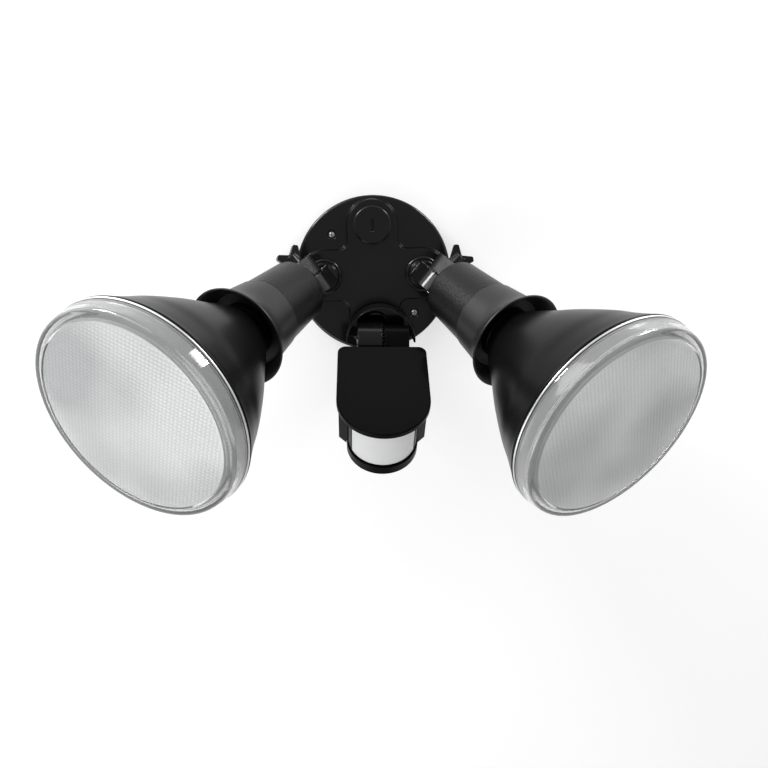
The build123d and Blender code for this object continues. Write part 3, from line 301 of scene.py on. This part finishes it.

# the from and to levels are the noise levels that become dark and pale; the dark and pale clouds are
# painted reflection and shade on the lens face
frostSettings = {"dark": "#cacccd", "pale": "#f2f3f3", "cloudMm": 75, "reflectionCloudFrom": 0.36, "reflectionCloudTo": 0.58,
                 "hazeMm": 0.6, "hazeBump": 0.2, "hazeDepthMm": 0.02, "roughness": 0.3,
                 "transmission": 0.1, "paintedGrooveShade": 0.18}
clearSettings = {"colour": "#fafbfb", "rippleMm": 9.0, "rippleBump": 0.15, "rippleDepthMm": 0.1,
                 "roughness": 0.05, "transmission": 0.85}
polycarbonateIor = 1.58


def frostedMaterial(settings):
    # frosted face of the lens: polycarbonate full of fine haze, with painted reflection and shade as broad
    # brighter and darker clouds
    material, tree = newMaterial("frosted polycarbonate")
    place = addNode(tree, "ShaderNodeTexCoord")
    # painted reflection and shade: slow noise makes broad pale and dark clouds in the face's colour, in
    # place of the reflector's light behind the lens
    cloud = addNode(tree, "ShaderNodeTexNoise", {"Scale": 1000 / settings["cloudMm"], "Detail": 1.5},
                    {"Vector": (place, "Object")})
    haze = addNode(tree, "ShaderNodeTexNoise", {"Scale": 1000 / settings["hazeMm"], "Detail": 2.0},
                   {"Vector": (place, "Object")})
    spread = addNode(tree, "ShaderNodeMapRange",
                     {"From Min": settings["reflectionCloudFrom"], "From Max": settings["reflectionCloudTo"]},
                     {"Value": (cloud, "Fac")})
    tone = addNode(tree, "ShaderNodeMix",
                   {"data_type": "RGBA", 6: linear(settings["dark"]), 7: linear(settings["pale"])},
                   {"Factor": (spread, 0)})
    # painted shade: the face's colour is darkened in the grooves between the pillows
    pillow = addNode(tree, "ShaderNodeAttribute", {"attribute_name": "pillow"})
    paintedGrooveDarkening = addNode(tree, "ShaderNodeMapRange", {"To Min": 1 - settings["paintedGrooveShade"], "To Max": 1.0},
                     {"Value": (pillow, "Fac")})
    shaded = addNode(tree, "ShaderNodeVectorMath", {"operation": "SCALE"},
                     {0: (tone, 2), "Scale": (paintedGrooveDarkening, 0)})
    bump = addNode(tree, "ShaderNodeBump",
                   {"Strength": settings["hazeBump"], "Distance": settings["hazeDepthMm"] * mm},
                   {"Height": (haze, "Fac")})
    shader = addNode(tree, "ShaderNodeBsdfPrincipled",
                     {"IOR": polycarbonateIor, "Roughness": settings["roughness"],
                      "Specular IOR Level": 0.5, "Transmission Weight": settings["transmission"]},
                     {"Base Color": (shaded, 0), "Normal": (bump, 0)})
    return finishMaterial(material, shader)


def clearMaterial(settings):
    # clear moulded band round the face: glossy, with slight ripples left by the mould
    material, tree = newMaterial("clear polycarbonate")
    place = addNode(tree, "ShaderNodeTexCoord")
    ripple = addNode(tree, "ShaderNodeTexNoise", {"Scale": 1000 / settings["rippleMm"], "Detail": 1.0},
                     {"Vector": (place, "Object")})
    bump = addNode(tree, "ShaderNodeBump",
                   {"Strength": settings["rippleBump"], "Distance": settings["rippleDepthMm"] * mm},
                   {"Height": (ripple, "Fac")})
    shader = addNode(tree, "ShaderNodeBsdfPrincipled",
                     {"Base Color": linear(settings["colour"]), "IOR": polycarbonateIor,
                      "Roughness": settings["roughness"], "Specular IOR Level": 0.5,
                      "Transmission Weight": settings["transmission"]},
                     {"Normal": (bump, 0)})
    return finishMaterial(material, shader)


frostedPolycarbonate = frostedMaterial(frostSettings)
clearPolycarbonate = clearMaterial(clearSettings)
print("materials made")

slotMaterials = {
    "black_moulding": blackPolycarbonate, "black_rubber": epdmRubber, "zinc_steel": zincSteel,
    "black_steel": blackSteel, "black_plastic": blackAbs, "grey_plastic": greyAbs,
    "milky_plastic": milkPolyethylene, "white_plastic": whiteNylon, "circuit_board": boardLaminate,
    "lamp_shell": lampEnamel, "bright_ring": brightAluminium, "frosted_lens": frostedPolycarbonate,
    "lamp_cap": plainAluminium, "socket_moulding": blackPolycarbonate, "brass": springBrass,
    "board_core": whiteBoard}
for nodeName, slotName in slotOf.items():
    node = frame["nodes"][nodeName]
    # the holders share the other mouldings' slot, but their mould was etched
    finish = grainedPolycarbonate if nodeName.endswith("_lampholder") else slotMaterials[slotName]
    node.data.materials.clear()
    node.data.materials.append(finish)
print("nodes finished")

# millimetres: radii from the lamp's axis, reaches along it from the hinge
lensSettings = {
    "crown": 176.3, "dome": 1.0, "domeRadius": 57.0,
    "faceRadius": 53.0, "faceRecess": 0.3, "cells": 240,
    "pitch": 2.15, "pillowHeight": 0.42, "pillowFade": 2.0,
    "thickness": 3.2, "smoothAngle": 35,
    # degrees that the rows of pillows are turned by
    "upright": {"left": -52.7, "right": 61.8},
    # radius and rise over the crown's curve: a bead, then the clear margin
    "margin": [(53.25, 0.0516), (53.6, 0.32), (54.0, 0.32), (54.35, 0.0517), (54.8, 0.0), (56.2, 0.0),
               (57.2, -0.02)],
    # radius and reach: the rounded shoulder, the side, the foot and the inside wall
    "wall": [(57.9, 175.06), (58.4, 174.7), (58.75, 174.2), (58.95, 173.6), (59.3, 172.4), (59.7, 170.0),
             (60.0, 167.4), (60.1, 166.5), (60.05, 166.15), (57.3, 166.15), (57.1, 166.4),
             (56.9, 169.5), (56.5, 171.3), (55.6, 172.0)],
    # radii of the underside, one thickness below the crown's curve
    "underside": [54.0, 40.0, 20.0, 8.0, 0.0]}


def crownReach(radius):
    # the crown less the dome's fall, which grows with the square of the radius
    return lensSettings["crown"] - lensSettings["dome"] * (radius / lensSettings["domeRadius"]) ** 2


def lensFace(side):
    # a square grid pressed onto a disc, so no cell is a sliver; its height is the crown's curve less a
    # recess, plus small pillows: cosine bumps along two crossed rows, faded out at the rim
    n = lensSettings["cells"]
    a, b = np.meshgrid(np.linspace(-1, 1, n + 1), np.linspace(-1, 1, n + 1), indexing="ij")
    wide = np.abs(a) >= np.abs(b)
    safeA, safeB = np.where(a == 0, 1, a), np.where(b == 0, 1, b)
    share = np.where(wide, a, b)
    angle = np.where(wide, np.pi / 4 * b / safeA, np.pi / 2 - np.pi / 4 * a / safeB)
    x = share * np.cos(angle) * lensSettings["faceRadius"]
    y = share * np.sin(angle) * lensSettings["faceRadius"]
    radius = np.hypot(x, y)
    upright = radians(lensSettings["upright"][side])
    along = (x * np.cos(upright) + y * np.sin(upright)) / lensSettings["pitch"]
    over = (y * np.cos(upright) - x * np.sin(upright)) / lensSettings["pitch"]
    pillow = np.abs(np.cos(np.pi * along)) * np.abs(np.cos(np.pi * over))
    fade = np.clip((lensSettings["faceRadius"] - radius) / lensSettings["pillowFade"], 0, 1)
    reach = crownReach(radius) - lensSettings["faceRecess"] + lensSettings["pillowHeight"] * fade * pillow
    place = places[side]
    points = (place["start"] + x[..., None] * mm * place["across"] + y[..., None] * mm * place["up"]
              + reach[..., None] * mm * place["out"])
    # the last array is 1 on the pillows' tops and at the rim, and lower in the grooves, where the lens
    # colour paints shade
    return points.reshape(-1, 3), gridFaces(n + 1, n + 1), (1 - fade * (1 - pillow)).ravel()


def buildLens(side):
    # the pressed face, and a profile carried round it from the face's rim to the underside's middle
    faceRadius, underside = lensSettings["faceRadius"], lensSettings["underside"]
    facePoints, faceFaces, pillow = lensFace(side)
    rim = [(faceRadius, crownReach(faceRadius) - lensSettings["faceRecess"])]
    margin = [(radius, crownReach(radius) + rise) for radius, rise in lensSettings["margin"]]
    under = [(radius, crownReach(radius) - lensSettings["thickness"]) for radius in underside]
    profile = np.array(rim + margin + lensSettings["wall"] + under)
    # the face's edge has four sides of cells, which start an eighth of a turn back
    segments = 4 * lensSettings["cells"]
    bandPoints, bandFaces = turned(profile, places[side], segments, -np.pi / 4)
    points = np.vstack([facePoints, bandPoints])
    faces = np.vstack([faceFaces, bandFaces + len(facePoints)])
    # 0 is frosted, the face and the underside; 1 is clear, the band between them
    rowFinish = np.ones(len(profile) - 1)
    rowFinish[1 - len(underside):] = 0
    finish = np.concatenate([np.zeros(len(faceFaces)), np.tile(rowFinish, segments)])
    # the band's points take none of the painted groove shade
    pillow = np.concatenate([pillow, np.ones(len(bandPoints))])
    piece = meshPiece(side + "_lens", points, faces, side + "_lamp", [side + "_lamp_lens"],
                      lensSettings["smoothAngle"], finish, pillow)
    return finished(piece, frostedPolycarbonate, clearPolycarbonate)


# radius and reach in mm, from the neck outwards over the rim and back inside
shellSettings = {
    "segments": 192, "wall": 2.0, "smoothAngle": 38, "bellSteps": 8, "innerBellEnd": 150.0,
    # two faint mould rings on the neck, and its collar
    "neck": [(12.5, 47.6), (12.5, 68.6), (16.7, 68.6), (17.0, 68.9), (17.0, 78.4), (17.25, 78.7),
             (17.25, 79.3), (17.0, 79.6), (17.0, 83.6), (17.4, 84.2), (20.9, 86.3), (21.35, 86.8),
             (21.5, 87.4), (21.8, 88.1)],
    "bellStart": (22.4, 88.9),
    "bell": [(24.4, 92.0), (31.0, 104.0), (41.0, 121.3), (50.0, 139.3), (54.3, 150.0), (58.6, 159.6)],
    # rolled, behind the ring
    "rim": [(59.5, 161.6), (60.1, 162.6), (60.5, 163.4), (60.5, 164.0), (60.2, 164.4), (58.5, 164.4)],
    # the board's seat and the floor across the shell
    "floor": [(54.6, 156.2), (54.1, 156.0), (0.0, 156.0), (0.0, 154.0), (53.3, 154.0)],
    "throat": [(15.0, 84.0), (15.0, 70.6), (10.5, 70.6), (10.5, 47.6), (12.5, 47.6)]}


def buildShell(side):
    # the bell's inside is its outside less the wall
    s = shellSettings
    bell = smoothLine([s["bellStart"]] + s["bell"], s["bellSteps"])
    innerBell = [(radius - s["wall"], reach) for radius, reach in s["bell"][::-1]
                 if reach < s["innerBellEnd"]]
    profile = np.vstack([s["neck"], bell, s["rim"], s["floor"], innerBell, s["throat"]])
    # the seat and floor behind the lens are left bright, the rest is enamelled
    rowFinish = np.zeros(len(profile) - 1)
    floorStart = len(s["neck"]) + len(bell) + len(s["rim"])
    rowFinish[floorStart:floorStart + 2] = 1
    points, faces = turned(profile, places[side], s["segments"])
    piece = meshPiece(side + "_shell", points, faces, side + "_lamp", [side + "_lamp_body"],
                      s["smoothAngle"], np.tile(rowFinish, s["segments"]))
    return finished(piece, lampEnamel, brightAluminium)


ringSettings = {
    "segments": 240, "smoothAngle": 50,
    "ring": [(57.1, 164.5), (60.0, 164.5), (60.4, 164.65), (60.6, 164.95), (60.6, 165.25), (60.4, 165.55),
             (60.0, 165.7), (57.1, 165.7), (57.1, 164.5)],
    "gasket": [(57.3, 165.65), (60.15, 165.65), (60.25, 165.9), (60.15, 166.2), (57.3, 166.2),
               (57.3, 165.65)]}


def buildRing(side):
    # bright rolled ring with a rounded outside, and the dark gasket that the lens stands on
    s = ringSettings
    points, faces = turned(np.array(s["ring"]), places[side], s["segments"])
    ring = meshPiece(side + "_ring", points, faces, side + "_lamp", [side + "_lamp_ring"],
                     s["smoothAngle"])
    finished(ring, brightAluminium)
    points, faces = turned(np.array(s["gasket"]), places[side], s["segments"])
    gasket = meshPiece(side + "_lens_gasket", points, faces, side + "_lamp", (),
                       s["smoothAngle"])
    finished(gasket, epdmRubber)


cupSettings = {
    "segments": 160, "smoothAngle": 42, "skirtSteps": 6, "insideSteps": 5,
    "skirt": [(23.9, 56.2), (24.3, 60.0), (24.8, 64.5), (25.3, 69.0), (25.9, 73.5), (26.9, 78.0),
              (28.6, 82.2), (30.9, 85.1)],
    "lip": [(31.45, 85.7), (31.65, 86.25), (31.45, 86.75), (30.95, 86.95), (30.45, 86.75), (30.1, 86.3),
            (29.6, 85.8)],
    "inside": [(28.9, 84.9), (27.2, 82.4), (25.4, 79.0), (24.4, 76.2), (23.9, 74.6)],
    # over the holder's spigot
    "sleeve": [(23.4, 74.2), (22.4, 74.2), (22.4, 66.0), (21.4, 66.0), (21.4, 55.6), (23.5, 55.6),
               (23.9, 56.2)]}


def buildCup(side):
    # thin-walled flared skirt with a beaded lip
    s = cupSettings
    profile = np.vstack([smoothLine(s["skirt"], s["skirtSteps"]), s["lip"],
                         smoothLine(s["inside"], s["insideSteps"]), s["sleeve"]])
    points, faces = turned(profile, places[side], s["segments"])
    piece = meshPiece(side + "_cup", points, faces, side + "_holder", [side + "_lamp_cup"],
                      s["smoothAngle"])
    return finished(piece, epdmRubber)


for side in ("left", "right"):
    buildLens(side)
    buildShell(side)
    buildRing(side)
    buildCup(side)
    print(side, "lamp made")

# screws in the base's cover, mm; a slope is the width over which a slot's wall or end falls
screwSettings = {"seatRadius": 2.8, "radius": 2.0, "height": 1.2, "crown": 0.6, "slotHalfWidth": 0.4,
                 "slotHalfLength": 1.4, "slotDepth": 0.9, "wallSlope": 0.25, "endSlope": 0.4,
                 "shankRadius": 1.75, "shankLength": 8.9, "rings": 27, "segments": 96, "smoothAngle": 50}


def slotBar(along, beside):
    # one bar of the cross: 1 inside, 0 outside, with a straight slope between
    s = screwSettings
    wall = np.clip((s["slotHalfWidth"] - np.abs(beside)) / s["wallSlope"] + 0.5, 0, 1)
    end = np.clip((s["slotHalfLength"] - np.abs(along)) / s["endSlope"] + 0.5, 0, 1)
    return wall * end


def screwGrid():
    # pan head: height falls with the square of the radius, less a cross whose walls slope;
    # the same grid goes on down the head's side and the shank to close underneath
    s = screwSettings
    radius, shank = s["radius"], s["shankRadius"]
    reach = np.linspace(0, 1, s["rings"])[:, None]
    angle = np.linspace(0, 2 * np.pi, s["segments"], endpoint=False)[None, :]
    across, over = radius * reach * np.cos(angle), radius * reach * np.sin(angle)
    cross = np.maximum(slotBar(across, over), slotBar(over, across))
    height = s["height"] - s["crown"] * reach ** 2 - s["slotDepth"] * cross
    rows = [np.stack([across, over, height], -1)]
    for rowRadius, rowHeight in ((radius, 0.0), (shank, 0.0), (shank, -s["shankLength"]),
                                 (0.0, -s["shankLength"])):
        level = np.full(angle.shape, rowHeight)
        rows.append(np.stack([rowRadius * np.cos(angle), rowRadius * np.sin(angle), level], -1))
    return np.vstack(rows)


def buildCoverScrews():
    # the node's box runs from the heads' tops, low in y, back to the shanks' ends, and its corners
    # lie a seat's radius past the two screws; bright zinc, as these heads shine
    grid = screwGrid()
    low, high = [np.array(corner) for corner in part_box("cover_screws")]
    headSeat = low[1] + screwSettings["height"] * mm
    inset = screwSettings["seatRadius"] * mm
    centres = [(low[0] + inset, high[2] - inset), (high[0] - inset, low[2] + inset)]
    quads = gridFaces(grid.shape[0], grid.shape[1], closeColumns=True)
    points, faces = [], []
    for count, (x, z) in enumerate(centres):
        screw = np.stack([x + grid[..., 0] * mm, headSeat - grid[..., 2] * mm, z + grid[..., 1] * mm], -1)
        points.append(screw.reshape(-1, 3))
        faces.append(quads + count * len(points[0]))
    piece = meshPiece("cover_screw_heads", np.vstack(points), np.vstack(faces), "base",
                      ["cover_screws"], screwSettings["smoothAngle"])
    return finished(piece, zincSteel)


buildCoverScrews()
print("cover screws made")

# the model's own shapes with their edges rounded: width of the rounding in mm for each node
edgeRounds = {"blanking_plug": 0.45, "arm_locknuts": 0.4, "sensor_housing": 0.3, "sensor_bottom_cap": 0.4,
              "sensor_frame": 0.3, "sensor_arm": 0.3, "left_arm": 0.3, "right_arm": 0.3,
              "left_wing_knob": 0.3, "right_wing_knob": 0.3}
# merging and flattening before the rounding, mm and degrees; edges sharper than edgeAngle are rounded
roundingSettings = {"merge": 0.06, "sliver": 0.02, "flatAngle": 0.4, "edgeAngle": 32, "segments": 3}


def rounded(nodeName, edge):
    # a copy of the node's mesh, merged and freed of flat triangles, with a bevel on its sharp edges
    mesh = frame["nodes"][nodeName].data.copy()
    mesh.name = nodeName + "_rounded"
    if "custom_normal" in mesh.attributes:
        mesh.attributes.remove(mesh.attributes["custom_normal"])
    work = bmesh.new()
    work.from_mesh(mesh)
    bmesh.ops.remove_doubles(work, verts=work.verts, dist=roundingSettings["merge"] * mm)
    bmesh.ops.dissolve_degenerate(work, edges=work.edges, dist=roundingSettings["sliver"] * mm)
    bmesh.ops.dissolve_limit(work, angle_limit=radians(roundingSettings["flatAngle"]),
                             verts=work.verts, edges=work.edges)
    work.to_mesh(mesh)
    work.free()
    mesh.shade_smooth()
    piece = bpy.data.objects.new(nodeName + "_rounded", mesh)
    bpy.context.scene.collection.objects.link(piece)
    bevel = piece.modifiers.new("rounded edges", "BEVEL")
    bevel.width = edge * mm
    bevel.segments = roundingSettings["segments"]
    bevel.limit_method = "ANGLE"
    bevel.angle_limit = radians(roundingSettings["edgeAngle"])
    bevel.use_clamp_overlap = False
    bevel.harden_normals = True
    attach(piece, bodyOf[nodeName])
    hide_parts(nodeName)
    return piece


for nodeName, edge in edgeRounds.items():
    rounded(nodeName, edge)
print("edges rounded")

# metres; glow and shade make the wall white where a ray sees it, paint is what the object's light meets
stageSettings = {"wallBack": 0.0006, "wallHalf": 3.0, "wallGlow": 0.465, "wallShade": 0.60,
                 "wallPaint": "#e6e6e6", "world": 0.38}
# place, width in metres, and power in watts of each softbox
softboxes = {"key": ((-0.75, -0.85, 0.95), 0.9, 7.0), "low": ((-0.65, -0.9, -0.7), 0.8, 6.0),
             "fill": ((0.95, -0.95, 0.05), 0.8, 1.0), "leftEdge": ((-0.75, -0.22, 0.75), 0.3, 9.0),
             "rightEdge": ((0.75, -0.25, 0.7), 0.3, 7.0)}
softboxAim = (0, -0.08, -0.03)


def wallMaterial():
    # white to the camera and in gloss and glass, plain paint to the light that falls on the object;
    # the wall has no back, so the light's own back can be looked at
    material, tree = newMaterial("white wall paint")
    path = addNode(tree, "ShaderNodeLightPath")
    seen = addNode(tree, "ShaderNodeMath", {"operation": "MAXIMUM"},
                   {0: (path, "Is Camera Ray"), 1: (path, "Is Glossy Ray")})
    seen = addNode(tree, "ShaderNodeMath", {"operation": "MAXIMUM"},
                   {0: (seen, 0), 1: (path, "Is Transmission Ray")})
    seenPaint = addNode(tree, "ShaderNodeBsdfDiffuse", {"Color": (stageSettings["wallShade"],) * 3 + (1,)})
    glow = addNode(tree, "ShaderNodeEmission", {"Strength": stageSettings["wallGlow"]})
    seenWall = addNode(tree, "ShaderNodeAddShader", links={0: (seenPaint, 0), 1: (glow, 0)})
    plainPaint = addNode(tree, "ShaderNodeBsdfDiffuse", {"Color": linear(stageSettings["wallPaint"])})
    paint = addNode(tree, "ShaderNodeMixShader", links={0: (seen, 0), 1: (plainPaint, 0), 2: (seenWall, 0)})
    geometry = addNode(tree, "ShaderNodeNewGeometry")
    nothing = addNode(tree, "ShaderNodeBsdfTransparent")
    oneSided = addNode(tree, "ShaderNodeMixShader",
                       links={0: (geometry, "Backfacing"), 1: (paint, 0), 2: (nothing, 0)})
    addNode(tree, "ShaderNodeOutputMaterial", links={"Surface": (oneSided, 0)})
    return material


def buildWall():
    # one square behind the base, facing the camera
    half, back = stageSettings["wallHalf"], stageSettings["wallBack"]
    mesh = bpy.data.meshes.new("wall")
    mesh.from_pydata([(-half, back, -half), (half, back, -half), (half, back, half), (-half, back, half)],
                     [], [(0, 1, 2, 3)])
    mesh.materials.append(wallMaterial())
    wall = bpy.data.objects.new("wall", mesh)
    bpy.context.scene.collection.objects.link(wall)


def buildWorld():
    # white behind the object, and a soft grey light on it
    world = bpy.data.worlds.new("studio")
    bpy.context.scene.world = world
    world.use_nodes = True
    tree = world.node_tree
    tree.nodes.clear()
    white = (1, 1, 1, 1)
    path = addNode(tree, "ShaderNodeLightPath")
    soft = addNode(tree, "ShaderNodeBackground", {"Color": white, "Strength": stageSettings["world"]})
    bright = addNode(tree, "ShaderNodeBackground", {"Color": white, "Strength": 1.0})
    sky = addNode(tree, "ShaderNodeMixShader",
                  links={0: (path, "Is Camera Ray"), 1: (soft, 0), 2: (bright, 0)})
    addNode(tree, "ShaderNodeOutputWorld", links={"Surface": (sky, 0)})


def buildSoftbox(name, place, width, power):
    light = bpy.data.lights.new(name, "AREA")
    light.shape = "SQUARE"
    light.size = width
    light.energy = power
    lamp = bpy.data.objects.new(name, light)
    lamp.location = place
    lamp.rotation_euler = (Vector(softboxAim) - Vector(place)).to_track_quat("-Z", "Y").to_euler()
    bpy.context.scene.collection.objects.link(lamp)


buildWall()
buildWorld()
for name, (place, width, power) in softboxes.items():
    buildSoftbox(name, place, width, power)
print("stage and light set")

# place in metres; turn in degrees about z, x and y; focal length and frame in the photo's pixels
cameraSettings = {"place": (-0.01063, -0.52306, 0.04507), "turn": (-2.78, -12.66, 1.50),
                  "focalPixels": 686.51, "framePixels": 768, "sensor": 36, "shift": (-0.01447, -0.02422),
                  "clipStart": 0.01}


def buildCamera():
    s = cameraSettings
    turn = [Matrix.Rotation(radians(angle), 3, axis) for angle, axis in zip(s["turn"], "ZXY")]
    # Blender's camera looks along its own -Z, the turns are written for one that looks along +Y
    heading = turn[0] @ turn[1] @ turn[2] @ Matrix.Rotation(radians(90), 3, "X")
    data = bpy.data.cameras.new("camera")
    data.lens = s["focalPixels"] / s["framePixels"] * s["sensor"]
    data.sensor_width = s["sensor"]
    data.shift_x, data.shift_y = s["shift"]
    data.clip_start = s["clipStart"]
    camera = bpy.data.objects.new("camera", data)
    camera.matrix_world = Matrix.Translation(s["place"]) @ heading.to_4x4()
    bpy.context.scene.collection.objects.link(camera)
    return camera


bpy.context.scene.camera = buildCamera()
bpy.context.scene.view_settings.view_transform = "Standard"
print("camera set")
